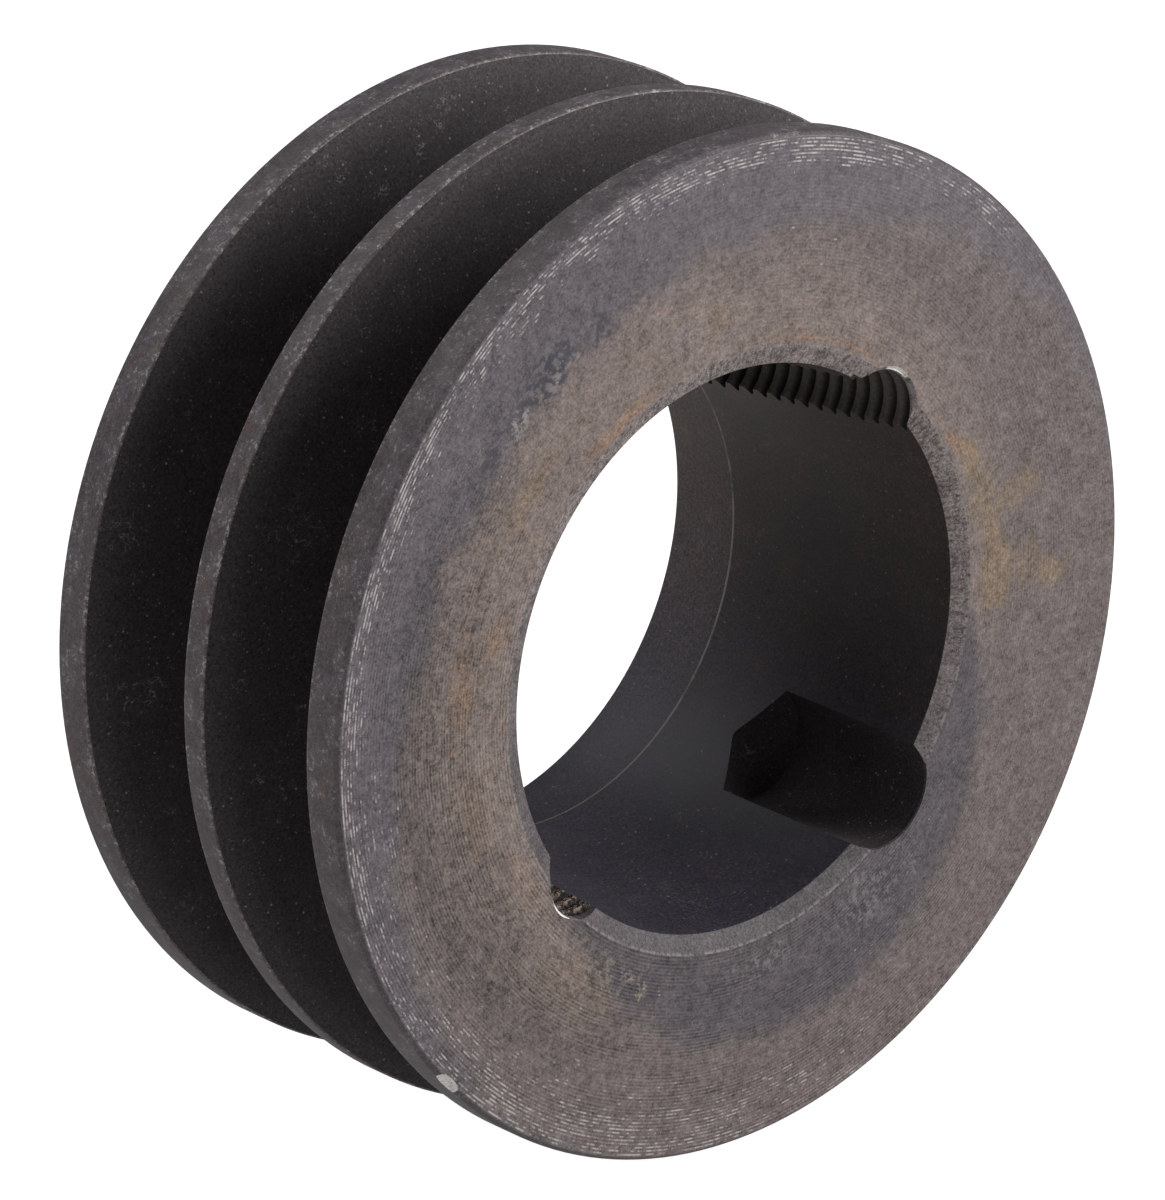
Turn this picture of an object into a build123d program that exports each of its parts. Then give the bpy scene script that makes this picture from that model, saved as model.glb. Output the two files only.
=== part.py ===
"""Two-groove V-belt pulley for a taper bush: one machined iron casting.

The pulley turns about the Y axis. Its origin is on that axis, halfway through its width.
The face that takes the bush screws is at -Y, and +Z is up. All sizes are millimetres.
"""

import os
from math import cos, radians, sin, tan

from build123d import *

# ---- rim and belt grooves (wedge belts on the narrow metric profile, datum width 11) ----
datum_diameter = 80.0       # diameter at which a belt's datum width lies in a groove
rim_above_datum = 2.75      # rim height outside the datum line
groove_below_datum = 11.0   # groove depth inside the datum line
datum_width = 11.0          # groove width on the datum line
groove_angle = 34.0         # included angle of a groove's flanks
groove_pitch = 15.0         # from one groove's middle to the next
groove_to_face = 10.0       # from a face to the nearest groove's middle
groove_count = 2
groove_lip_radius = 0.25    # rounding where a flank meets a land
groove_root_radius = 0.5    # rounding where a flank meets the groove's floor
front_rim_chamfer = 0.35
back_rim_chamfer = 0.5

# ---- taper bore (bush of 1.875 in large end and 1 in length) ----
taper_diameter = 47.625     # large end of the taper, on the front face
taper_angle = 8.0           # included angle
taper_length = 25.4         # along the axis, from the front face
mouth_chamfer_width = 1.5875
mouth_chamfer_depth = 0.7
recess_step = 2.25          # radial step from the taper's small end out to the rear recess
recess_chamfer = 0.4
step_chamfer = 0.2          # broken edge between the taper's small end and the step

# ---- half-holes that straddle the bore wall ----
hole_axis_inset = 1.5875    # how far the hole axes lie inside the taper's large end
jacking_hole_angle = -45.5  # about the axis, from +X towards +Z
screw_hole_spacing = 94.0   # each threaded half-hole, either side of the jacking hole
jacking_hole_diameter = 10.1
jacking_hole_depth = 15.3   # to the shoulder of the drill point
drill_point_angle = 118.0

# ---- bush screw thread (3/8 in, 16 to the inch, right-hand, 55 degree form) ----
screw_diameter = 9.525
thread_pitch = 1.5875
thread_form_angle = 55.0
full_thread_depth = 0.640327  # of the form, as a share of the pitch
thread_engagement = 0.8     # share of that depth left by the tapping drill
thread_length = 24.0
thread_root_width = 0.26    # flat left at the thread's deepest line
thread_overlap = 0.35       # how far the tap's cutter reaches into the drilled hole
upper_thread_start = 168.0  # where each thread's deepest line crosses the front face, measured
lower_thread_start = -49.0  # from the outward side of its hole, clockwise as seen from the front
cut_margin = 1.0            # how far a cutter runs past the surface that it cuts
tiny = 1e-6                 # for telling whether a corner lies on a radius

rim_radius = datum_diameter / 2 + rim_above_datum
width = (groove_count - 1) * groove_pitch + 2 * groove_to_face
front_y = -width / 2
back_y = width / 2
taper_slope = tan(radians(taper_angle / 2))
hole_circle_radius = taper_diameter / 2 - hole_axis_inset
tapping_drill_diameter = screw_diameter - 2 * thread_engagement * full_thread_depth * thread_pitch


def taper_radius(depth):
    """Radius of the taper at a depth inside the front face."""
    return taper_diameter / 2 - depth * taper_slope


recess_radius = taper_radius(taper_length) + recess_step


def blank_section():
    """Half section of the rim with both outside edges chamfered, as a face beside the Y axis."""
    section = Polyline(
        (0, front_y),
        (rim_radius - front_rim_chamfer, front_y),
        (rim_radius, front_y + front_rim_chamfer),
        (rim_radius, back_y - back_rim_chamfer),
        (rim_radius - back_rim_chamfer, back_y),
        (0, back_y),
        close=True,
    )
    return make_face(section)


def groove_section(middle_y):
    """Section of one belt groove: a trapezium that runs a little past the rim."""
    flank = tan(radians(groove_angle / 2))
    datum_radius = datum_diameter / 2
    floor_radius = datum_radius - groove_below_datum
    floor_half = datum_width / 2 - groove_below_datum * flank
    top_radius = rim_radius + cut_margin
    top_half = datum_width / 2 + (rim_above_datum + cut_margin) * flank
    section = Polyline(
        (floor_radius, middle_y - floor_half),
        (top_radius, middle_y - top_half),
        (top_radius, middle_y + top_half),
        (floor_radius, middle_y + floor_half),
        close=True,
    )
    return make_face(section)


def bore_section():
    """Section of everything bored out round the axis, from the mouth to the rear recess."""
    end_y = front_y + taper_length
    end_radius = taper_radius(taper_length)
    section = Polyline(
        (0, front_y),
        (taper_diameter / 2 + mouth_chamfer_width, front_y),
        (taper_radius(mouth_chamfer_depth), front_y + mouth_chamfer_depth),
        (taper_radius(taper_length - step_chamfer), end_y - step_chamfer),
        (end_radius + step_chamfer, end_y),
        (recess_radius, end_y),
        (recess_radius, back_y - recess_chamfer),
        (recess_radius + recess_chamfer, back_y),
        (0, back_y),
        close=True,
    )
    return make_face(section)


def turned_blank():
    """The casting as it leaves the lathe: rim, grooves and bore, with no holes yet."""
    section = blank_section()
    for index in range(groove_count):
        section -= groove_section(front_y + groove_to_face + index * groove_pitch)
    floor_radius = datum_diameter / 2 - groove_below_datum
    roots = [v for v in section.vertices() if abs(v.X - floor_radius) < tiny]
    section = fillet(roots, groove_root_radius)
    rim_corners = [v for v in section.vertices() if abs(v.X - rim_radius) < tiny]
    lips = sorted(rim_corners, key=lambda corner: corner.Y)[1:-1]
    section = fillet(lips, groove_lip_radius)
    section -= bore_section()
    return revolve(section, axis=Axis.Y)


def hole_place(angle):
    """Where a half-hole starts: its Z runs into the casting, its X points out from the bore."""
    centre = (hole_circle_radius * cos(radians(angle)), front_y, hole_circle_radius * sin(radians(angle)))
    outward = (cos(radians(angle)), 0, sin(radians(angle)))
    return Plane(origin=centre, x_dir=outward, z_dir=(0, 1, 0))


def drilled_hole(diameter, depth):
    """A drill's path along +Z: a cylinder that starts outside, with its point at the far end."""
    point = diameter / 2 / tan(radians(drill_point_angle / 2))
    section = Polyline(
        (0, 0, -cut_margin),
        (diameter / 2, 0, -cut_margin),
        (diameter / 2, 0, depth),
        (0, 0, depth + point),
        close=True,
    )
    return revolve(make_face(section), axis=Axis.Z)


def thread_groove(start_angle):
    """The helical groove that a right-hand tap cuts, as a solid that starts outside."""
    root_radius = screw_diameter / 2
    inner_radius = tapping_drill_diameter / 2 - thread_overlap
    half_root = thread_root_width / 2
    half_mouth = half_root + (root_radius - inner_radius) * tan(radians(thread_form_angle / 2))
    lead_in = 2 * thread_pitch
    path = Helix(thread_pitch, thread_length + lead_in, root_radius)
    section = Polyline(
        (inner_radius, 0, -half_mouth),
        (root_radius, 0, -half_root),
        (root_radius, 0, half_root),
        (inner_radius, 0, half_mouth),
        close=True,
    )
    groove = sweep(make_face(section), path=path, is_frenet=True)
    return Rot(0, 0, start_angle) * Pos(0, 0, -lead_in) * groove


def pulley():
    body = turned_blank()
    jacking_hole = drilled_hole(jacking_hole_diameter, jacking_hole_depth)
    body -= hole_place(jacking_hole_angle).location * jacking_hole
    for side, start_angle in ((-1, lower_thread_start), (1, upper_thread_start)):
        place = hole_place(jacking_hole_angle + side * screw_hole_spacing).location
        body -= place * thread_groove(start_angle)
        body -= place * drilled_hole(tapping_drill_diameter, taper_length)
    return body


if __name__ == "__main__":
    os.makedirs("parts", exist_ok=True)
    export_step(pulley(), "parts/pulley.step")
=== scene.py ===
# %% [markdown]
# # A V-belt pulley in grey iron
#
# The pulley is one casting, turned all over in a lathe. Two V grooves run round its rim, and a taper
# bore goes through it for a split bush. Three half-holes straddle the wall of the bore: two are tapped
# for the screws that draw the bush in, and a plain blind one lets a screw push the bush out again.
#
# The CAD part holds the sizes. This lesson makes the piece that is looked at: the same shape, with the
# ridges that the lathe tool left, real threads, broken edges and a worn, oily finish.

import random
from math import ceil, cos, pi, radians, sin, tan

import bmesh
import bpy
from mathutils import Matrix, Vector


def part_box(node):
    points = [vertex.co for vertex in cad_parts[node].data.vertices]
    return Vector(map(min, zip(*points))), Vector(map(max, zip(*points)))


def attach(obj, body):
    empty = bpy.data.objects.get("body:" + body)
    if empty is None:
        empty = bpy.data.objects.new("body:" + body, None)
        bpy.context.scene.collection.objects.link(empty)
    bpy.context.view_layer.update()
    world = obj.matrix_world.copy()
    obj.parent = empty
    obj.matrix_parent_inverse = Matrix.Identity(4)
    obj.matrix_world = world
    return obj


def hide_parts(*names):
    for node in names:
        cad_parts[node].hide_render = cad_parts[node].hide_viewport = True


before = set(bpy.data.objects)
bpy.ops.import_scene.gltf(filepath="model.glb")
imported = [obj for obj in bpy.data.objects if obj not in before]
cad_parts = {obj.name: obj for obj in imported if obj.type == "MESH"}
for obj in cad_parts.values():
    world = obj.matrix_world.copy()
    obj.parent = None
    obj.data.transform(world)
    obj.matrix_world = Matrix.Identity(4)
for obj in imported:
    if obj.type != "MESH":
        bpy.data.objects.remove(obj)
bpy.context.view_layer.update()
low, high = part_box("pulley")
print("CAD box, in metres:", [list(low), list(high)])

# %% [markdown]
# ## Sizes
#
# Everything that is turned is round about the Y axis, so a place on it is a radius and a Y. The rim and
# the width come from the frame, and the rest are the sizes of the groove, the bush and its screws. They
# are in millimetres here, and become metres only where a mesh is made.

# %% Sizes of the turned shape
MM = 0.001
rim_radius = high[0] / MM
front_y = low[1] / MM
back_y = high[1] / MM

datum_radius = 40.0
groove_below_datum = 11.0
datum_width = 11.0
groove_slope = tan(radians(34.0 / 2))
groove_middles = (front_y + 10.0, back_y - 10.0)
front_chamfer = 0.35
back_chamfer = 0.5
broken_lip = 0.18
broken_groove_floor = 0.37

taper_radius = 23.8125
taper_slope = tan(radians(8.0 / 2))
taper_length = 25.4
mouth_width = 1.5875
mouth_depth = 0.7
recess_radius = taper_radius - taper_length * taper_slope + 2.25
recess_chamfer = 0.4
step_chamfer = 0.2

# %% Sizes of the half-holes
hole_circle = taper_radius - 1.5875
jacking_angle = -45.5
upper_screw_angle = jacking_angle + 94.0
lower_screw_angle = jacking_angle - 94.0
jacking_radius = 5.05
jacking_depth = 15.3
jacking_countersink = 0.12
thread_pitch = 1.5875
thread_root_radius = 9.525 / 2
thread_crest_radius = thread_root_radius - 0.8 * 0.640327 * thread_pitch
thread_length = 24.0
tapping_drill_radius = thread_crest_radius - 0.02
drill_point_slope = tan(radians(118.0 / 2))
print("rim radius", round(rim_radius, 3), "width", round(back_y - front_y, 3), "mm")

# %% [markdown]
# ## The outline that the lathe cuts
#
# A turned part is half of its section, swept once round the axis. The outline below lists its corners in
# order: out along the front face, over the rim and its two grooves, in along the back face, and back
# through the bore. With each corner goes the length by which its edge is broken, because no real edge is
# sharp.
#
# A facing cut is a spiral so fine that it reads as rings. The tool's round nose leaves a shallow
# scallop at each turn with a low ridge between, about 0.3 mm apart. They catch the light, so they are
# real here and not only a bump in the material.

# %% Tool ridges across a face
ridge_pitch = 0.3
scallop_depth = 0.008
chatter = random.Random(4)


def facing_ridges(from_radius, to_radius, y, inward):
    """Corners of the ridges on a flat face: each ridge's top lies in the face, each scallop below it."""
    count = round(abs(to_radius - from_radius) / ridge_pitch)
    step = (to_radius - from_radius) / count
    corners = []
    for index in range(count):
        top = from_radius + index * step
        scallop = scallop_depth * (0.5 + chatter.random())
        corners.append((top, y, 0))
        corners.append((top + step / 2, y + inward * scallop, 0))
    return corners


# %% Corners of one belt groove
half_lip = datum_width / 2 + (rim_radius - datum_radius) * groove_slope
half_groove_floor = datum_width / 2 - groove_below_datum * groove_slope
groove_floor_radius = datum_radius - groove_below_datum


def groove_corners(middle):
    return [
        (rim_radius, middle - half_lip, broken_lip),
        (groove_floor_radius, middle - half_groove_floor, broken_groove_floor),
        (groove_floor_radius, middle + half_groove_floor, broken_groove_floor),
        (rim_radius, middle + half_lip, broken_lip),
    ]


# %% All corners, once round the section
def bore_radius(depth):
    return taper_radius - depth * taper_slope


mouth_radius = taper_radius + mouth_width
taper_end_y = front_y + taper_length

corners = [(bore_radius(mouth_depth), front_y + mouth_depth, 0.06)]
corners += facing_ridges(mouth_radius, rim_radius - front_chamfer, front_y, 1)
corners += [
    (rim_radius - front_chamfer, front_y, 0.05),
    (rim_radius, front_y + front_chamfer, 0.08),
]
for middle in groove_middles:
    corners += groove_corners(middle)
corners += [
    (rim_radius, back_y - back_chamfer, 0.08),
    (rim_radius - back_chamfer, back_y, 0.05),
]
corners += facing_ridges(rim_radius - back_chamfer - ridge_pitch, recess_radius + recess_chamfer, back_y, -1)
corners += [
    (recess_radius + recess_chamfer, back_y, 0.05),
    (recess_radius, back_y - recess_chamfer, 0.05),
    (recess_radius, taper_end_y, 0.25),
    (bore_radius(taper_length) + step_chamfer, taper_end_y, 0.04),
    (bore_radius(taper_length - step_chamfer), taper_end_y - step_chamfer, 0.05),
]
print("outline corners:", len(corners))

# %% [markdown]
# ## The finishes' names
#
# The pulley is one piece, but its surfaces were cut, rubbed and stained differently. Each surface gets
# its own material, and a face keeps a number that says which. The cutters carry the same list, so what
# they cut takes their number.

# %% Names of the finishes
finish_names = [
    "front_face_iron",
    "back_face_iron",
    "rim_land_iron",
    "matt_black_iron",
    "taper_bore_iron",
    "mouth_chamfer_iron",
    "thread_iron",
    "bare_iron",
]
finishes = [bpy.data.materials.new(name) for name in finish_names]
FRONT, BACK, LAND, FLANK, BORE, MOUTH, THREAD, BARE = range(len(finish_names))

# %% Finish of each turned surface
face_skin = 0.03
land_skin = 0.6


def surface_of(middle):
    """The finish of a turned face, from the place of its middle."""
    radius = Vector((middle.x, middle.z)).length / MM
    y = middle.y / MM
    if radius < mouth_radius and y < front_y + mouth_depth:
        return MOUTH
    if y < front_y + face_skin:
        return FRONT
    if y > back_y - face_skin:
        return BACK
    if radius < recess_radius + recess_chamfer:
        return BORE
    if radius > rim_radius - land_skin:
        return LAND
    return FLANK


# %% [markdown]
# ## Spin the outline
#
# The outline is a closed loop of wire. Its corners are broken with a bevel of the vertices, and its long
# runs are divided, so that the faces stay near square. Spinning the loop once round the Y axis, with its
# ends merged, makes the closed ring. The normals are recalculated afterwards, because a spin can leave
# the ring inside out.

# %% Wire outline
longest_run = 1.8 * MM
blank = bmesh.new()
loop = [blank.verts.new((radius * MM, y * MM, 0)) for radius, y, broken in corners]
for index in range(len(loop)):
    blank.edges.new((loop[index - 1], loop[index]))
for vert, (radius, y, broken) in list(zip(loop, corners)):
    if broken:
        bmesh.ops.bevel(
            blank, geom=[vert], offset=broken * MM, segments=4, profile=0.5, affect="VERTICES", material=-1
        )
for edge in [edge for edge in blank.edges if edge.calc_length() > longest_run]:
    bmesh.ops.subdivide_edges(blank, edges=[edge], cuts=int(edge.calc_length() / longest_run))
print("outline points:", len(blank.verts))

# %% Spin the turned blank
bmesh.ops.spin(
    blank,
    geom=blank.verts[:] + blank.edges[:],
    cent=(0, 0, 0),
    axis=(0, 1, 0),
    angle=2 * pi,
    steps=192,
    use_merge=True,
)
bmesh.ops.remove_doubles(blank, verts=blank.verts, dist=0.0005 * MM)
bmesh.ops.recalc_face_normals(blank, faces=blank.faces)
for face in blank.faces:
    face.material_index = surface_of(face.calc_center_median())
print("turned blank:", len(blank.faces), "faces, volume", round(blank.calc_volume() / MM**3), "mm3")


# %% Turn a bmesh into an object
def new_piece(name, bm):
    mesh = bpy.data.meshes.new(name)
    bm.to_mesh(mesh)
    bm.free()
    for material in finishes:
        mesh.materials.append(material)
    piece = bpy.data.objects.new(name, mesh)
    bpy.context.scene.collection.objects.link(piece)
    return piece


pulley = new_piece("pulley_casting", blank)

# %% [markdown]
# ## The tap
#
# A tapped hole is cut by a rod with the thread's own shape, so that is what is made here. One pitch of
# the thread's outline is spun round the rod's axis, and each step also moves it on by a share of the
# pitch. Where one turn ends, the next begins on the same vertices, so merging them makes one helical
# skin. It is cut flat at both ends and capped.
#
# A real thread's deepest line is rounded, and its crest is flat, where the tapping drill left it.


# %% One tap
def thread_outline():
    """One pitch of the tapped hole's section, as (radius, place along the axis)."""
    depth = thread_root_radius - thread_crest_radius
    flank = depth * tan(radians(55.0 / 2))
    root_half = 0.12
    crest_half = (thread_pitch - 2 * flank - 2 * root_half) / 2
    middle = thread_pitch / 2
    soft = 0.05
    return [
        (thread_crest_radius, 0),
        (thread_crest_radius, crest_half - soft),
        (thread_crest_radius + soft, crest_half + soft / 2),
        (thread_root_radius - soft, middle - root_half - soft / 2),
        (thread_root_radius, middle - root_half / 2),
        (thread_root_radius, middle + root_half / 2),
        (thread_root_radius - soft, middle + root_half + soft / 2),
        (thread_crest_radius + soft, thread_pitch - crest_half - soft / 2),
        (thread_crest_radius, thread_pitch - crest_half + soft),
        (thread_crest_radius, thread_pitch),
    ]


def capped_cut(bm, z, outward):
    """Cuts a bmesh flat at z, drops what lies beyond, and closes the cut."""
    bmesh.ops.bisect_plane(
        bm,
        geom=bm.verts[:] + bm.edges[:] + bm.faces[:],
        dist=1e-9,
        plane_co=(0, 0, z),
        plane_no=(0, 0, outward),
        clear_outer=True,
    )
    rim = [edge for edge in bm.edges if edge.is_boundary and all(abs(v.co.z - z) < 1e-8 for v in edge.verts)]
    bmesh.ops.contextual_create(bm, geom=rim)


steps_per_turn = 36


def tap(start_angle, start):
    """A threaded rod along +Z, from z = start. Its deepest line would cross z = 0 at start_angle."""
    lead = 3
    turns = lead + ceil(thread_length / thread_pitch) + 1
    bm = bmesh.new()
    shift = -thread_pitch * (lead + 0.5)
    verts = [bm.verts.new((radius * MM, 0, (z + shift) * MM)) for radius, z in thread_outline()]
    edges = [bm.edges.new(pair) for pair in zip(verts, verts[1:])]
    bmesh.ops.spin(
        bm,
        geom=verts + edges,
        cent=(0, 0, 0),
        axis=(0, 0, 1),
        dvec=(0, 0, thread_pitch * MM / steps_per_turn),
        angle=2 * pi * turns,
        steps=steps_per_turn * turns,
    )
    bmesh.ops.remove_doubles(bm, verts=bm.verts, dist=0.001 * MM)
    capped_cut(bm, start * MM, -1)
    capped_cut(bm, thread_length * MM, 1)
    bmesh.ops.recalc_face_normals(bm, faces=bm.faces)
    bmesh.ops.rotate(bm, cent=(0, 0, 0), matrix=Matrix.Rotation(radians(start_angle), 3, "Z"), verts=bm.verts)
    for face in bm.faces:
        face.material_index = THREAD
    return bm


# %% [markdown]
# ## Drills
#
# A drill leaves a round hole that ends in a shallow cone, and its mouth is broken by a countersink. The
# cutter is the outline of all that, spun round: much shorter to write than a cylinder and two cones
# joined together.


# %% One drill
def drill(radius, depth, countersink, finish):
    bm = bmesh.new()
    outside = 1.0
    section = [
        (0, -outside),
        (radius + countersink + outside, -outside),
        (radius, countersink),
        (radius, depth),
        (0, depth + radius / drill_point_slope),
    ]
    verts = [bm.verts.new((r * MM, 0, z * MM)) for r, z in section]
    edges = [bm.edges.new(pair) for pair in zip(verts, verts[1:])]
    bmesh.ops.spin(
        bm,
        geom=verts + edges,
        cent=(0, 0, 0),
        axis=(0, 0, 1),
        angle=2 * pi,
        steps=72,
        use_merge=True,
    )
    bmesh.ops.remove_doubles(bm, verts=bm.verts, dist=0.0005 * MM)
    bmesh.ops.recalc_face_normals(bm, faces=bm.faces)
    for face in bm.faces:
        face.material_index = finish
    return bm


# %% Where a half-hole starts
def hole_place(angle, aside=0.0, bearing=0.0):
    """Matrix that puts a cutter's +Z into the casting, with its X pointing out from the pulley's axis.

    aside and bearing move it off the hole's own axis, counted clockwise as seen from the front."""
    outward = Vector((cos(radians(angle)), 0, sin(radians(angle))))
    inward = Vector((0, 1, 0))
    sideways = inward.cross(outward)
    centre = outward * hole_circle + inward * front_y
    centre += (outward * cos(radians(bearing)) + sideways * sin(radians(bearing))) * aside
    place = Matrix((outward, sideways, inward)).transposed().to_4x4()
    place.translation = centre * MM
    return place


# %% [markdown]
# ## Cut the holes
#
# Each cutter is put where it goes and taken from the casting with an exact Boolean, which gives clean
# edges where a thread's crest meets the bore. The drills are a hair thinner than the thread's crest, so
# no two surfaces lie on each other. Each tap starts a little way down its drilled hole, so a plain band
# is left at the mouth.


# %% Cut with one cutter
def cut(piece, name, bm, place):
    bmesh.ops.transform(bm, matrix=place, verts=bm.verts)
    cutter = new_piece(name, bm)
    boolean = piece.modifiers.new(name, "BOOLEAN")
    boolean.operation = "DIFFERENCE"
    boolean.solver = "EXACT"
    boolean.material_mode = "INDEX"
    boolean.object = cutter
    evaluated = piece.evaluated_get(bpy.context.evaluated_depsgraph_get())
    cut_mesh = bpy.data.meshes.new_from_object(evaluated)
    piece.modifiers.clear()
    piece.data = cut_mesh
    bpy.data.objects.remove(cutter)
    print("after", name, len(cut_mesh.polygons), "faces")


# %% Drill and tap: name, angle of the hole, turn of the tap, its first depth, countersink
threads = [
    ("upper", upper_screw_angle, 168.0, 0.55, 0.3),
    ("lower", lower_screw_angle, -49.0, 0.95, 0.05),
]
for name, angle, start_angle, start, countersink in threads:
    place = hole_place(angle)
    cut(pulley, name + "_drill", drill(tapping_drill_radius, taper_length, countersink, MOUTH), place)
    cut(pulley, name + "_tap", tap(start_angle, start), place)
jacking_drill = drill(jacking_radius, jacking_depth, jacking_countersink, FLANK)
cut(pulley, "jacking_drill", jacking_drill, hole_place(jacking_angle))

# %% [markdown]
# ## Chips
#
# Grey iron is brittle. Where a drill breaks out at an edge, and where the rim has been knocked, a flake
# has come away and left bare metal. Each chip is a small cone or ball that bites a sliver off the edge.


# %% Chips at the screw holes
def chip_cone(radius, depth):
    """A blunt cone along +Z, of that radius at the surface and a little less at that depth."""
    bm = bmesh.new()
    bmesh.ops.create_cone(
        bm,
        cap_ends=True,
        segments=64,
        radius1=(radius + depth) * MM,
        radius2=(radius - depth) * MM,
        depth=2 * depth * MM,
    )
    for face in bm.faces:
        face.material_index = BARE
    return bm


upper_chip_place = hole_place(upper_screw_angle, aside=1.62, bearing=-12.0)
lower_chip_place = hole_place(lower_screw_angle, aside=1.52)
cut(pulley, "upper_chip", chip_cone(radius=2.74, depth=0.22), upper_chip_place)
cut(pulley, "lower_chip", chip_cone(radius=2.6, depth=0.12), lower_chip_place)


# %% Knocks on the rim
def knocks(places, finish):
    """Balls that bite the rim: each has an angle, a Y, a radius, and the depth of its bite."""
    bm = bmesh.new()
    for angle, y, radius, bite in places:
        away = rim_radius + radius - bite
        centre = Vector((cos(radians(angle)) * away, y, sin(radians(angle)) * away))
        place = Matrix.Translation(centre * MM)
        bmesh.ops.create_icosphere(bm, subdivisions=3, radius=radius * MM, matrix=place)
    for face in bm.faces:
        face.material_index = finish
    return bm


lips = [middle + side * half_lip for middle in groove_middles for side in (-1, 1)]
big_knock = [(-138.0, front_y - 2.0, 3.4, 1.4)]
small_knocks = [
    (128.0, lips[3] + 0.1, 0.9, 0.16),
    (133.0, lips[3] - 0.1, 0.7, 0.14),
    (141.0, lips[3] + 0.2, 0.8, 0.10),
    (112.0, lips[2], 0.8, 0.12),
    (121.0, lips[1] + 0.1, 0.7, 0.13),
    (156.0, lips[2] + 0.1, 0.9, 0.12),
    (148.0, lips[0], 0.8, 0.12),
    (103.0, lips[0] - 0.1, 0.8, 0.12),
    (176.0, lips[1], 0.7, 0.10),
    (20.0, lips[0], 0.8, 0.12),
    (-35.0, lips[3], 0.9, 0.14),
    (-80.0, lips[2], 0.8, 0.12),
    (60.0, back_y, 0.9, 0.20),
    (5.0, back_y, 0.8, 0.25),
    (-100.0, back_y, 0.9, 0.22),
    (36.0, front_y + 0.1, 0.5, 0.15),
    (-52.0, front_y, 0.5, 0.20),
]
cut(pulley, "big_knock", knocks(big_knock, BARE), Matrix.Identity(4))
cut(pulley, "small_knocks", knocks(small_knocks, MOUTH), Matrix.Identity(4))

# %% Clean the mesh and check that it is closed
bm = bmesh.new()
bm.from_mesh(pulley.data)
bmesh.ops.dissolve_degenerate(bm, dist=1e-7, edges=bm.edges)
bmesh.ops.triangulate(bm, faces=[face for face in bm.faces if len(face.verts) > 4])
open_edges = [edge for edge in bm.edges if not edge.is_manifold]
print("faces", len(bm.faces), "open edges", len(open_edges), "volume", round(bm.calc_volume() / MM**3), "mm3")
bm.to_mesh(pulley.data)
bm.free()

# %% [markdown]
# Smooth shading rounds the broken edges and the threads. The tool ridges are the exception: their sides
# are narrow flats, and it is the step in light between one side and the other that shows them.

# %% Shading and what the piece stands for
pulley.data.shade_smooth()
pulley.data.set_sharp_from_angle(angle=radians(32))
for polygon in pulley.data.polygons:
    polygon.use_smooth = polygon.material_index not in (FRONT, BACK)
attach(pulley, "root")
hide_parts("pulley")

# %% [markdown]
# ## Writing shader maths
#
# A procedural finish is mostly arithmetic on the place of a point. Written node by node it can't be
# read, so a small class wraps a node's output and lets Python's own operators add the Math nodes. Every
# other node comes from one method.


# %% A socket that Python can add and multiply
class Wire:
    def __init__(self, finish, socket):
        self.finish = finish
        self.socket = socket

    def maths(self, operation, *values):
        return self.finish.node("ShaderNodeMath", {"operation": operation}, dict(enumerate(values)))

    def __add__(self, other):
        return self.maths("ADD", self, other)

    def __sub__(self, other):
        return self.maths("SUBTRACT", self, other)

    def __rsub__(self, other):
        return self.maths("SUBTRACT", other, self)

    def __mul__(self, other):
        return self.maths("MULTIPLY", self, other)

    def __truediv__(self, other):
        return self.maths("DIVIDE", self, other)

    def __abs__(self):
        return self.maths("ABSOLUTE", self)

    __radd__ = __add__
    __rmul__ = __mul__

    def floor(self):
        return self.maths("FLOOR", self)

    def root(self):
        return self.maths("SQRT", self)

    def most(self, other):
        return self.maths("MAXIMUM", self, other)


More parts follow.
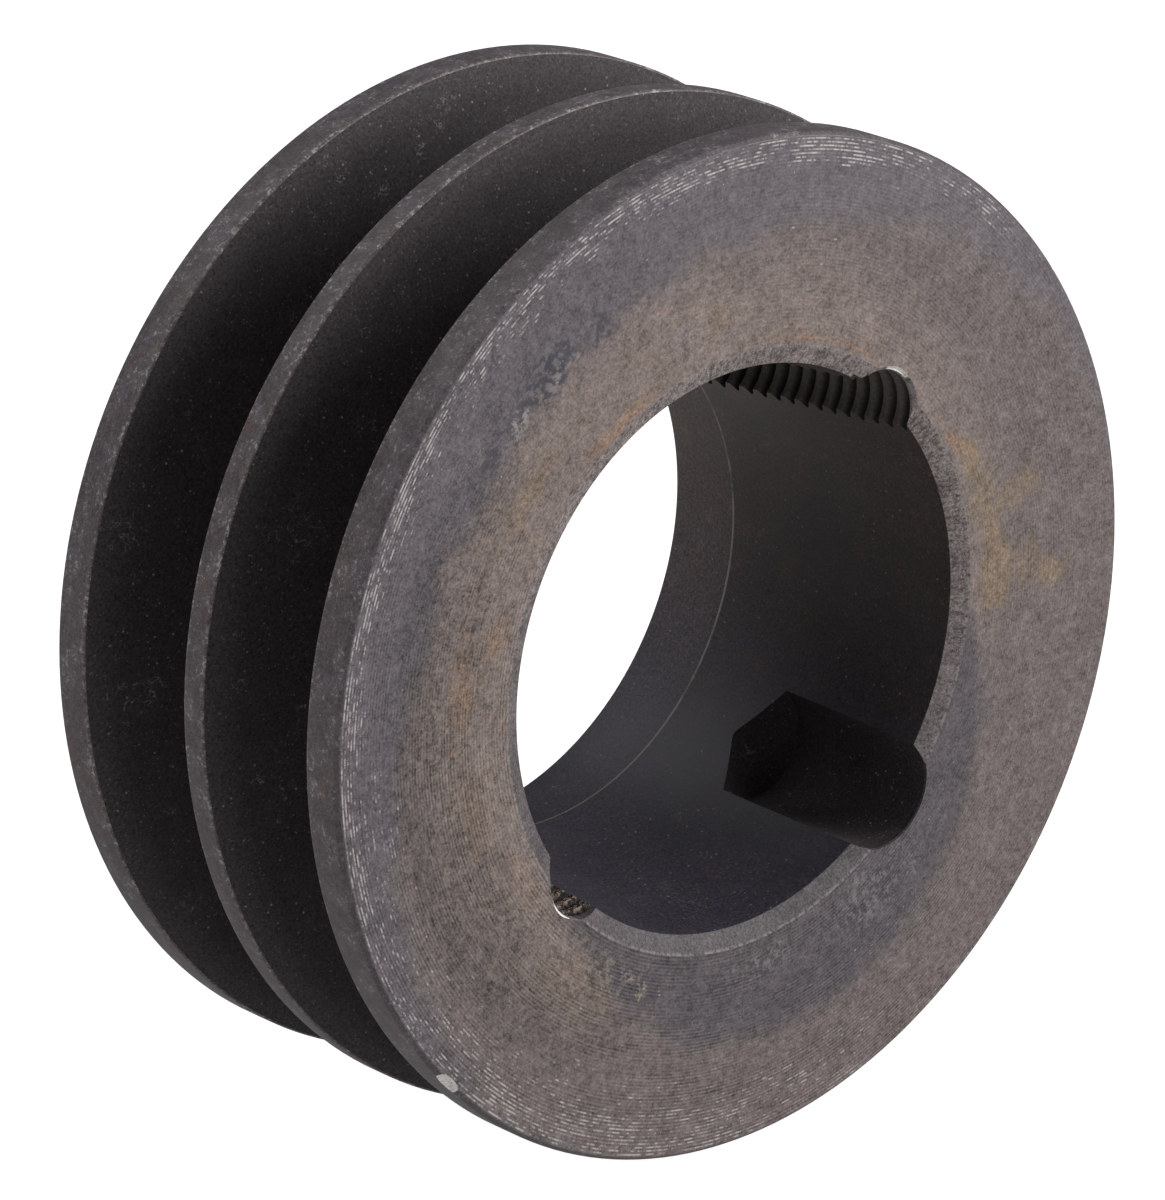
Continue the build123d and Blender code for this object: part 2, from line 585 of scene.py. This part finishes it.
# %% A finish under construction
class Finish:
    """One material's nodes: a Principled shader, and the coordinates of a turned part in millimetres."""

    def __init__(self, material, constants):
        material.use_nodes = True
        self.tree = material.node_tree
        self.tree.nodes.clear()
        self.shader = self.tree.nodes.new("ShaderNodeBsdfPrincipled")
        output = self.tree.nodes.new("ShaderNodeOutputMaterial")
        self.tree.links.new(self.shader.outputs[0], output.inputs["Surface"])
        for name, value in constants.items():
            self.shader.inputs[name].default_value = value
        place = self.node("ShaderNodeTexCoord", {}, {}, "Object")
        self.x, self.y, self.z = (
            self.node("ShaderNodeSeparateXYZ", {}, {0: place}, axis) / MM for axis in range(3)
        )
        self.radius = (self.x * self.x + self.z * self.z).root()
        self.across = self.x / self.radius
        self.upward = self.z / self.radius

    def node(self, kind, settings, inputs, output=0):
        node = self.tree.nodes.new(kind)
        for name, value in settings.items():
            setattr(node, name, value)
        for name, value in inputs.items():
            if isinstance(value, Wire):
                self.tree.links.new(value.socket, node.inputs[name])
            else:
                node.inputs[name].default_value = value
        return Wire(self, node.outputs[output])

    def set(self, name, value):
        self.tree.links.new(value.socket, self.shader.inputs[name])

    def vector(self, x, y, z):
        return self.node("ShaderNodeCombineXYZ", {}, {0: x, 1: y, 2: z})

    def step(self, value, start, end):
        """0 at start, 1 at end, and a smooth change between. It falls where end is the smaller."""
        settings = {"interpolation_type": "SMOOTHSTEP"}
        if start > end:
            return self.node("ShaderNodeMapRange", settings, {0: value, 1: end, 2: start, 3: 1.0, 4: 0.0})
        return self.node("ShaderNodeMapRange", settings, {0: value, 1: start, 2: end})

    def noise(self, size, detail=3.0, roughness=0.6, offset=0.0, vector=None):
        """Noise from 0 to 1, whose lumps are about size millimetres across."""
        vector = vector or self.vector(self.x + offset, self.y, self.z)
        inputs = {"Vector": vector, "Scale": 1.0 / size, "Detail": detail, "Roughness": roughness}
        return self.node("ShaderNodeTexNoise", {}, inputs, "Fac")

    def ring_noise(self, length, width, detail=2.0, offset=0.0):
        """Noise drawn out round the axis: about length along a ring, and width from ring to ring."""
        around = rim_radius / length
        across_rings = (self.radius + self.y) / width
        vector = self.vector(self.across * around + offset, self.upward * around, across_rings)
        return self.noise(1.0, detail, vector=vector)

    def specks(self, size, share, offset=0.0):
        """Dots in a cell pattern of that size. share is a dot's radius as a part of the size."""
        vector = self.vector(self.x + offset, self.y, self.z)
        distance = self.node("ShaderNodeTexVoronoi", {}, {"Vector": vector, "Scale": 1.0 / size}, "Distance")
        return self.step(distance, share, share * 0.5)

    def towards(self, angle):
        """1 on the side of the pulley at that angle, -1 on the far side."""
        return self.across * cos(radians(angle)) + self.upward * sin(radians(angle))

    def spot(self, angle, radius, along, thick, ragged):
        """A stain on a face, long round the axis and thick from ring to ring, with a ragged edge."""
        outward, aside = cos(radians(angle)), sin(radians(angle))
        off_ring = (self.x * outward + self.z * aside - radius) / thick
        off_place = (self.z * outward - self.x * aside) / along
        distance = (off_ring * off_ring + off_place * off_place).root()
        return self.step(distance + ragged, 1.35, 0.35)

    def mix(self, share, first, second):
        """A colour between two others."""
        first, second = (c if isinstance(c, Wire) else (*c, 1.0) for c in (first, second))
        return self.node("ShaderNodeMix", {"data_type": "RGBA"}, {0: share, 6: first, 7: second}, 2)

    def shade(self, colour, amount):
        """A colour made lighter or darker by a number."""
        return self.node("ShaderNodeVectorMath", {"operation": "SCALE"}, {0: colour, "Scale": amount})

    def relief(self, height, distance):
        """Bump, whose height of 1 stands for distance millimetres."""
        self.set("Normal", self.node("ShaderNodeBump", {}, {"Height": height, "Distance": distance * MM}))


# %% [markdown]
# ## The two faces
#
# A face was turned, coated dark and oiled, and then handled for years. Its colour has three layers.
# Under all is a grey that turns blue where the coating is thick and brown where it is thin or rusting.
# Over that lie the rings: each ridge is painted a little lighter than its scallop, a painted highlight that
# is strongest on one side of the face, and rust keeps to the rings too. The face is also painted lighter near
# the rim on one side and darker in an inner band on another, which is painted light and painted shade. Last,
# where the ridges have rubbed against something, broken dashes of bright iron show, most of all near the rim.
#
# The blue areas end at circles that sit off the axis. Adding a term that varies as a cosine round the
# face moves a circle off centre, so that is how their edges are drawn. A stain is a stretched spot, with
# one noise shared by all of them to make their edges ragged.

# %% Colours of the iron
blue_grey = (0.119, 0.103, 0.113)
dark_blue_grey = (0.088, 0.077, 0.086)
warm_grey = (0.158, 0.129, 0.124)
brown_grey = (0.212, 0.168, 0.152)
rust_orange = (0.30, 0.175, 0.10)
yellow_stain = (0.245, 0.170, 0.105)
pale_stain = (0.38, 0.32, 0.24)
pale_scuff = (0.30, 0.28, 0.285)
dark_scuff = (0.045, 0.045, 0.062)
bright_iron = (0.62, 0.58, 0.56)

# %% Stains on the front face: angle, radius, length, thickness, strength, colour
stains = [
    (24.0, 27.4, 2.2, 1.0, 0.9, yellow_stain),
    (14.0, 28.0, 4.2, 1.6, 0.75, yellow_stain),
    (0.0, 28.4, 3.6, 2.2, 0.8, yellow_stain),
    (13.0, 31.5, 1.6, 2.6, 0.6, yellow_stain),
    (1.0, 31.5, 2.2, 2.2, 0.5, yellow_stain),
    (-2.0, 34.8, 1.3, 2.2, 0.75, yellow_stain),
    (29.0, 26.6, 1.7, 0.7, 0.6, rust_orange),
    (64.0, 26.1, 2.6, 0.4, 0.5, rust_orange),
    (78.0, 26.0, 4.0, 0.3, 0.5, rust_orange),
    (96.0, 29.0, 1.6, 1.6, 0.4, yellow_stain),
    (120.0, 26.1, 4.2, 0.7, 0.55, rust_orange),
    (142.0, 29.5, 5.0, 1.2, 0.6, yellow_stain),
    (164.0, 27.6, 1.6, 1.2, 0.5, rust_orange),
    (172.0, 30.2, 4.4, 1.3, 0.5, rust_orange),
    (-168.0, 29.5, 4.5, 2.0, 0.2, rust_orange),
    (-150.0, 27.2, 4.0, 1.2, 0.2, rust_orange),
    (-128.0, 30.0, 6.0, 3.0, 0.2, yellow_stain),
]
pale_marks = [
    (-113.5, 28.6, 0.8, 0.9, 0.9, pale_stain),
    (-117.0, 27.7, 1.1, 0.5, 0.8, pale_stain),
    (-124.0, 28.0, 5.0, 2.2, 0.35, pale_stain),
    (134.0, 34.6, 1.7, 1.4, 0.9, pale_scuff),
    (124.0, 34.0, 2.0, 0.8, 0.5, pale_scuff),
    (152.0, 29.0, 2.4, 0.9, 0.35, pale_scuff),
    (103.0, 28.5, 2.0, 1.2, 0.3, pale_scuff),
    (-60.0, 28.6, 6.0, 2.6, 0.3, pale_scuff),
    (-84.0, 27.4, 4.0, 1.2, 0.3, pale_scuff),
]
dark_marks = [
    (127.0, 34.9, 3.6, 1.5, 0.85, dark_scuff),
    (141.0, 35.0, 1.6, 1.0, 0.6, dark_scuff),
    (117.0, 34.4, 1.2, 1.4, 0.6, dark_scuff),
]


# %% Dashes of bright iron on the ridges
def worn_dashes(f, worn):
    """1 where a ridge has rubbed bright, more often as worn rises, and never in a scallop."""
    turn = (f.radius - mouth_radius) / ridge_pitch
    ridge = (turn + 0.5).floor()
    crest = 1 - abs(turn - ridge) * 2
    along = f.noise(1.0, 3.0, 0.7, vector=f.vector(f.across * 42.0, f.upward * 42.0, ridge * 7.3))
    patches = f.noise(1.0, 3.0, vector=f.vector(f.across * 7.0, f.upward * 7.0, f.radius / 1.6))
    broken = f.noise(1.0, 2.0, vector=f.vector(f.across * 110.0, f.upward * 110.0, ridge * 3.1))
    bright = f.step(along + worn * 0.24 + (patches - 0.5) * 0.5, 0.68, 0.86) * f.step(broken, 0.26, 0.50)
    return bright * f.step(crest, 0.35, 0.80), crest


# %% Finish of a turned face
def turned_face_finish(material, coated_side, stains, pale_marks, dark_marks):
    """coated_side is an angle near the bluest part of the rim. The other patches are placed from it, and
    it shifts the noises, so that two faces differ."""
    f = Finish(material, {"Specular IOR Level": 0.3})
    ragged = f.noise(2.0, 6.0, 0.7, offset=coated_side)
    wander = (f.noise(5.0, 6.0, 0.7, offset=coated_side) - 0.5) * 6.0
    along_rings = f.ring_noise(2.5, 0.28, 3.0, offset=coated_side)
    mottle = f.noise(0.8, 4.0, 0.65, offset=coated_side + 17)
    grain = f.noise(0.2, 3.0, 0.8)

    upper_blue = f.step(f.radius + f.towards(coated_side + 15) * 6.5 + wander, 38.4, 41.4)
    lower_blue = f.step(f.towards(coated_side - 183) * 14.0 - f.radius + wander, -22.0, -19.0)
    brown = 1 - f.step(f.radius + wander * 1.4 - f.towards(coated_side + 40) * 4.0, 26.5, 34.5)
    colour = f.mix(brown * 0.9, warm_grey, brown_grey)
    colour = f.mix(upper_blue, colour, blue_grey)
    colour = f.mix(lower_blue * 0.9, colour, dark_blue_grey)
    rusty = f.step(along_rings + (ragged - 0.5) * 0.5, 0.54, 0.70)
    colour = f.mix(rusty * brown * (1 - lower_blue) * 0.25, colour, rust_orange)
    edge = (ragged - 0.5) * 2.6 + (mottle - 0.5) * 1.2
    for angle, radius, along, thick, strength, stain in stains:
        spot = f.spot(angle, radius, along, thick, edge)
        colour = f.mix(spot * f.step(along_rings, 0.2, 0.6) * strength, colour, stain)

    cloud = f.noise(3.0, 5.0, 0.7, offset=coated_side + 7)
    light = 1 + (cloud - 0.5) * 0.9 + (mottle - 0.5) * 1.3 + (grain - 0.5) * 2.8
    # Painted highlight: the side of the face where the rings and ridge crests are painted with the most
    # contrast.
    painted_ring_highlight_side = f.step(f.towards(coated_side + 120), -0.4, 0.7)
    wavering = f.step(f.ring_noise(14.0, 1.5, 2.0, offset=coated_side + 50), 0.3, 0.65)
    light = light + (along_rings - 0.5) * (painted_ring_highlight_side * 0.7 + 0.25)
    # Painted light: the blue band near the rim is painted lighter on one side.
    light = light + upper_blue * f.step(f.towards(coated_side - 60), 0.3, 1.0) * 0.25
    # Painted shade: an inner band of the face is painted darker on another side.
    painted_shade_side = f.step(f.towards(coated_side + 80), 0.4, 1.0) * f.step(f.radius, 27.0, 30.0)
    light = light - painted_shade_side * f.step(f.radius, 38.5, 36.0) * 0.25

    worn_top = f.step(f.towards(coated_side + 20), -0.25, 0.5) * f.step(f.radius, 38.6, 41.6)
    worn_low = f.step(f.towards(coated_side + 125), 0.2, 0.9) * f.step(f.radius, 33.0, 41.2)
    worn_rim = f.step(f.towards(coated_side + 75), -1.3, 0.6) * f.step(f.radius, 40.8, 41.9)
    bright, crest = worn_dashes(f, worn_top.most(worn_low * 0.85).most(worn_rim))
    # Ridge crests are painted lighter than their scallops, a painted highlight that is strongest on one side
    # of the face.
    colour = f.shade(colour, light + (crest - 0.5) * (painted_ring_highlight_side * 0.6 + 0.08) * wavering)

    for angle, radius, along, thick, strength, mark in dark_marks:
        spot = f.spot(angle, radius, along, thick, edge) * f.step(mottle, 0.56, 0.48)
        colour = f.mix(spot * strength, colour, mark)
    for angle, radius, along, thick, strength, mark in pale_marks:
        spot = f.spot(angle, radius, along, thick, edge) * f.step(mottle + (grain - 0.5) * 0.6, 0.48, 0.62)
        colour = f.mix(spot * strength, colour, mark)
    dust = f.specks(0.6, 0.16, offset=coated_side) * f.step(cloud, 0.42, 0.6)
    colour = f.mix(dust * 0.5, colour, pale_scuff)
    scratch = f.step(abs(f.noise(2.2, 2.0, offset=coated_side + 70) - 0.5), 0.010, 0.002)
    colour = f.mix(scratch * f.step(cloud, 0.48, 0.6) * 0.3, colour, pale_scuff)
    colour = f.mix(bright * 0.85, colour, bright_iron)

    f.set("Base Color", colour)
    f.set("Roughness", 0.52 + (grain - 0.5) * 0.4 - bright * 0.15)
    f.set("Metallic", bright * 0.4)
    f.relief(grain * 0.6 + mottle + along_rings * painted_ring_highlight_side, 0.02)


turned_face_finish(finishes[FRONT], 110.0, stains, pale_marks, dark_marks)
turned_face_finish(finishes[BACK], 35.0, [], [], [])

# %% [markdown]
# ## The rim's lands and the grooves
#
# The lands are smooth and dark, rubbed brown by rust in places and pale where they were knocked, with
# bluish-pale patches that are partly scuffs and partly a painted sheen. A belt has never touched the grooves,
# so their flanks are still a matt black, with a fine dust of light specks. Near the rim the flanks are
# painted lighter, which is painted light that leaves the depth of the groove darker.


# %% Lands and flanks
def land_finish(material):
    f = Finish(material, {"Specular IOR Level": 0.4})
    cloud = f.noise(3.0, 5.0, 0.7)
    rust = f.step(f.noise(2.4, 6.0, 0.7, offset=31.0) + f.towards(195) * 0.05, 0.56, 0.72)
    grain = f.noise(0.22, 3.0, 0.8)
    mottle = f.noise(0.8, 4.0, 0.65, offset=17.0)
    from_lip = abs(abs(abs(f.y) - groove_middles[1]) - half_lip)
    lip_wear_and_painted_light = f.step(from_lip, 0.45, 0.05)
    # Bluish-pale patches, more often on the upper left: partly scuffs, partly a painted sheen. They also
    # place the chips.
    scuffs_and_painted_sheen = f.step(f.noise(2.2, 4.0, 0.7, offset=63.0) + f.towards(135) * 0.06, 0.52, 0.64)
    chipped = f.step(f.noise(0.45, 4.0, 0.8, offset=21.0) + lip_wear_and_painted_light * 0.03, 0.55, 0.61)
    chips = chipped * (scuffs_and_painted_sheen * 0.8 + lip_wear_and_painted_light * 0.5)
    colour = f.mix(cloud, (0.064, 0.053, 0.060), (0.118, 0.100, 0.106))
    colour = f.mix(rust.most(lip_wear_and_painted_light * 0.6) * 0.4, colour, (0.15, 0.085, 0.060))
    colour = f.shade(colour, 1 + (grain - 0.5) * 2.8 + (mottle - 0.5) * 0.9)
    colour = f.mix(scuffs_and_painted_sheen * 0.2, colour, (0.19, 0.18, 0.205))
    dust = f.specks(0.6, 0.17) * f.step(cloud, 0.40, 0.58)
    colour = f.mix(chips.most(dust * 0.7) * 0.75, colour, (0.42, 0.39, 0.38))
    f.set("Base Color", colour)
    f.set("Roughness", 0.5 + (grain - 0.5) * 0.3)
    f.relief(grain * 0.5 + cloud, 0.015)


def flank_finish(material):
    f = Finish(material, {"Specular IOR Level": 0.2, "Roughness": 0.75})
    cloud = f.noise(4.0, 5.0, 0.7)
    grain = f.noise(0.24, 3.0, 0.8)
    # Painted light: the flank is painted lighter towards the rim, which leaves the deep groove darker as
    # painted shade.
    lip_wear_and_painted_light = f.step(f.radius, 39.0, 42.4)
    dusty = f.step(f.noise(3.0, 3.0, offset=5.0), 0.4, 0.6)
    dust = f.specks(1.0, 0.13) * dusty
    fine_dust = f.specks(0.5, 0.17, offset=40.0) * (0.3 + dusty * 0.3)
    fibre = f.step(abs(f.noise(1.8, 3.0, offset=90.0) - 0.5), 0.014, 0.003) * f.step(cloud, 0.58, 0.64)
    colour = f.mix(cloud, (0.024, 0.020, 0.023), (0.058, 0.049, 0.053))
    colour = f.mix(lip_wear_and_painted_light * 0.5, colour, (0.094, 0.082, 0.088))
    colour = f.shade(colour, 1 + (grain - 0.5) * 3.2)
    colour = f.mix(dust.most(fine_dust).most(fibre * 0.6) * 0.8, colour, (0.30, 0.265, 0.24))
    f.set("Base Color", colour)
    f.relief(grain + f.ring_noise(3.0, 0.15) * 0.6, 0.012)


land_finish(finishes[LAND])
flank_finish(finishes[FLANK])

# %% [markdown]
# ## The bore, its mouth and the threads
#
# The bore is dark and smooth, blue-black below and with a breath of rust above. It is painted lighter deeper
# in, on its upper right and on the right of the recess, which is painted light, and a painted highlight runs
# along the step at its back. The chamfer at its mouth was cut with a dull tool, which tore the iron, so it is
# pitted and uneven, and a painted highlight runs along its outer edge. The threads are painted darker still
# at their roots, a painted shade in their hollows, and are lighter on their crests, where the screws have
# rubbed. The upper one is smooth and oily, and the lower one is dry and crumbly.


# %% How far a place is from a half-hole
def from_hole(f, angle):
    """Distance in millimetres from the hole's axis."""
    x = f.x - hole_circle * cos(radians(angle))
    z = f.z - hole_circle * sin(radians(angle))
    return (x * x + z * z).root()


# %% Bore and its mouth
def bore_finish(material):
    f = Finish(material, {"Specular IOR Level": 0.4})
    cloud = f.noise(5.0, 5.0, 0.7)
    rust = f.step(f.noise(2.4, 6.0, 0.75, offset=12.0), 0.52, 0.68)
    grain = f.noise(0.24, 3.0, 0.8)
    below = f.step(f.towards(-95), -0.2, 0.9)
    # Painted light: the bore is painted lighter deeper in, on its upper right, and on the right of the
    # recess.
    painted_light_deeper = f.step(f.y, taper_end_y - 12.0, taper_end_y) * 0.35
    painted_light_upper_side = f.step(f.towards(44), 0.7, 1.0) * 0.5
    painted_light_recess_right = f.step(f.y, taper_end_y, taper_end_y + 0.5) * f.step(f.towards(12), 0.3, 1.0) * 0.6
    colour = f.mix(below, (0.046, 0.035, 0.034), (0.037, 0.034, 0.046))
    colour = f.mix(rust * (0.5 - below * 0.35), colour, (0.10, 0.056, 0.038))
    colour = f.shade(colour, 1 + (cloud - 0.5) * 0.9 + painted_light_deeper + painted_light_upper_side + painted_light_recess_right)
    colour = f.shade(colour, 1 + (grain - 0.5) * 3.6)
    dusty = f.step(f.noise(3.0, 3.0, offset=5.0), 0.38, 0.6)
    dust = f.specks(1.0, 0.12) * dusty
    fine_dust = f.specks(0.5, 0.17, offset=40.0) * (0.25 + dusty * 0.3)
    colour = f.mix(dust.most(fine_dust) * 0.7, colour, (0.30, 0.265, 0.24))
    # A painted highlight: a pale line along the step at the back of the bore, fading towards the left.
    painted_step_highlight = f.step(abs(f.y - (taper_end_y - 0.22)), 0.21, 0.10) * f.step(f.towards(20), -1.6, 0.9)
    colour = f.mix(painted_step_highlight * f.step(cloud, 0.32, 0.5) * 0.75, colour, (0.36, 0.33, 0.31))
    f.set("Base Color", colour)
    f.set("Roughness", 0.5 + (grain - 0.5) * 0.4)
    f.relief(grain + f.ring_noise(6.0, 0.2) * 0.5, 0.010)


def mouth_finish(material):
    f = Finish(material, {"Specular IOR Level": 0.3, "Roughness": 0.6})
    above = f.step(f.towards(70), -0.9, 0.8)
    torn = f.noise(1.0, 4.0, 0.7, vector=f.vector(f.across * 60.0, f.upward * 60.0, f.radius / 0.7))
    grain = f.noise(0.2, 3.0, 0.8)
    cloud = f.noise(3.0, 4.0, 0.65)
    tear = f.step(torn, 0.54, 0.38)
    # A painted highlight: a pale line along the outer edge of the chamfer.
    lip_wear_and_painted_light = f.step(f.radius, mouth_radius - 0.30, mouth_radius - 0.08)
    colour = f.mix(above, (0.098, 0.084, 0.088), (0.250, 0.212, 0.205))
    colour = f.shade(colour, 1 + (grain - 0.5) * 4.0 + (cloud - 0.5) * 1.4)
    colour = f.mix(tear * (0.35 + above * 0.35), colour, (0.045, 0.036, 0.036))
    colour = f.mix(lip_wear_and_painted_light * f.step(torn, 0.4, 0.6) * 0.6, colour, (0.32, 0.29, 0.285))
    f.set("Base Color", colour)
    f.relief(torn * (0.3 + above) + grain * 0.3, 0.06)


# %% Threads and bare iron
def thread_finish(material):
    f = Finish(material, {"Specular IOR Level": 0.25, "Roughness": 0.6})
    grain = f.noise(0.3, 4.0, 0.7)
    upper = f.step(from_hole(f, upper_screw_angle), 4.55, 3.95)
    lower = f.step(from_hole(f, lower_screw_angle), 4.40, 4.0)
    # The roots are painted near black, a painted shade in the thread's hollows. The crests are lighter, where
    # the screws rubbed.
    colour = f.mix(upper, (0.022, 0.018, 0.017), (0.115, 0.098, 0.088))
    colour = f.mix(lower, colour, (0.19, 0.146, 0.120))
    crumbly = f.step(from_hole(f, lower_screw_angle), 8.0, 7.0)
    oily_shade = f.step(grain, 0.3, 0.7) * 0.5 + 0.75
    crumbly_shade = f.step(grain, 0.45, 0.6) * 1.9 + 0.12
    colour = f.shade(colour, oily_shade * (1 - crumbly) + crumbly_shade * crumbly)
    f.set("Base Color", colour)
    f.relief(grain * (crumbly * 0.9 + 0.2), 0.16)


def bare_finish(material):
    f = Finish(material, {"Roughness": 0.5})
    grain = f.noise(0.3, 4.0, 0.8)
    f.set("Base Color", f.mix(f.step(grain, 0.3, 0.6), (0.55, 0.50, 0.47), (0.95, 0.92, 0.88)))
    f.relief(grain, 0.05)


bore_finish(finishes[BORE])
mouth_finish(finishes[MOUTH])
thread_finish(finishes[THREAD])
bare_finish(finishes[BARE])

# %% [markdown]
# ## Floor, light and camera
#
# The pulley stands on its rim on a white floor, in a white tent. Both are bright enough to be seen as
# plain white, and that much light would wash out the grooves. So they are backdrops only: the camera
# sees them, and the light passes through. A dimmer card just under the floor does the floor's real work,
# and sends a little light up.
#
# A large soft light to the right of the camera does most of the work. Two weak ones, at the left and
# high behind, draw the edges of the rim, and leave the grooves dark. The camera has a long lens, so that
# the circles stay nearly true.


# %% Floor, card and tent
tent_radius = 5.0
floor_reach = 6.0
card_drop = 0.0005
grey = (0.3, 0.3, 0.3)
black = (0.0, 0.0, 0.0)


def staged(name, bm, base_colour, glow, seen_only):
    mesh = bpy.data.meshes.new(name)
    bm.to_mesh(mesh)
    bm.free()
    thing = bpy.data.objects.new(name, mesh)
    bpy.context.scene.collection.objects.link(thing)
    material = bpy.data.materials.new(name)
    look = {"Base Color": (*base_colour, 1.0), "Roughness": 1.0, "Specular IOR Level": 0.0}
    Finish(material, {**look, "Emission Color": (1.0, 1.0, 1.0, 1.0), "Emission Strength": glow})
    material.cycles.emission_sampling = "NONE"
    mesh.materials.append(material)
    if seen_only:
        thing.visible_diffuse = False
        thing.visible_glossy = False
        thing.visible_shadow = False


def flat_square(half, z):
    bm = bmesh.new()
    bmesh.ops.create_grid(bm, x_segments=1, y_segments=1, size=half)
    bmesh.ops.translate(bm, verts=bm.verts, vec=(0, 0, z))
    return bm


dome = bmesh.new()
bmesh.ops.create_uvsphere(dome, u_segments=32, v_segments=16, radius=tent_radius)
bmesh.ops.reverse_faces(dome, faces=dome.faces)
staged("white_floor", flat_square(floor_reach, low[2]), grey, glow=0.97, seen_only=True)
staged("under_card", flat_square(floor_reach, low[2] - card_drop), grey, glow=0.29, seen_only=False)
staged("white_tent", dome, black, glow=1.0, seen_only=True)


# %% Lights
light_distance = 1.2
light_size = 0.8


def direction(azimuth, elevation):
    """Unit vector away from the pulley. Azimuth 0 is in front, and 90 is to the right."""
    a, e = radians(azimuth), radians(elevation)
    return Vector((sin(a) * cos(e), -cos(a) * cos(e), sin(e)))


def soft_light(name, azimuth, elevation, power):
    """A square area light that looks at the pulley."""
    light = bpy.data.lights.new(name, "AREA")
    light.size = light_size
    light.energy = power
    lamp = bpy.data.objects.new(name, light)
    away = direction(azimuth, elevation)
    lamp.location = away * light_distance
    lamp.rotation_euler = away.to_track_quat("Z", "Y").to_euler()
    bpy.context.scene.collection.objects.link(lamp)


soft_light("right_light", azimuth=45, elevation=25, power=15.8)
soft_light("left_light", azimuth=-100, elevation=35, power=3.3)
soft_light("back_light", azimuth=-150, elevation=60, power=3.7)

world = bpy.data.worlds.new("studio")
world.use_nodes = True
world.node_tree.nodes["Background"].inputs["Color"].default_value = (1.0, 1.0, 1.0, 1.0)
world.node_tree.nodes["Background"].inputs["Strength"].default_value = 0.11
bpy.context.scene.world = world
bpy.context.scene.view_settings.view_transform = "Standard"

# %% Camera
view_azimuth = -41.76
view_elevation = 19.82
view_distance = 0.5917
back = direction(view_azimuth, view_elevation)
right = Vector((cos(radians(view_azimuth)), sin(radians(view_azimuth)), 0))
up = back.cross(right)
aim = right * -1.39 * MM + up * -0.17 * MM

camera_data = bpy.data.cameras.new("camera")
camera_data.sensor_fit = "VERTICAL"
camera_data.sensor_height = 36.0
camera_data.lens = 216.5
camera_data.clip_start = 0.01
camera = bpy.data.objects.new("camera", camera_data)
camera.location = aim + back * view_distance
camera.rotation_euler = back.to_track_quat("Z", "Y").to_euler()
bpy.context.scene.collection.objects.link(camera)
bpy.context.scene.camera = camera
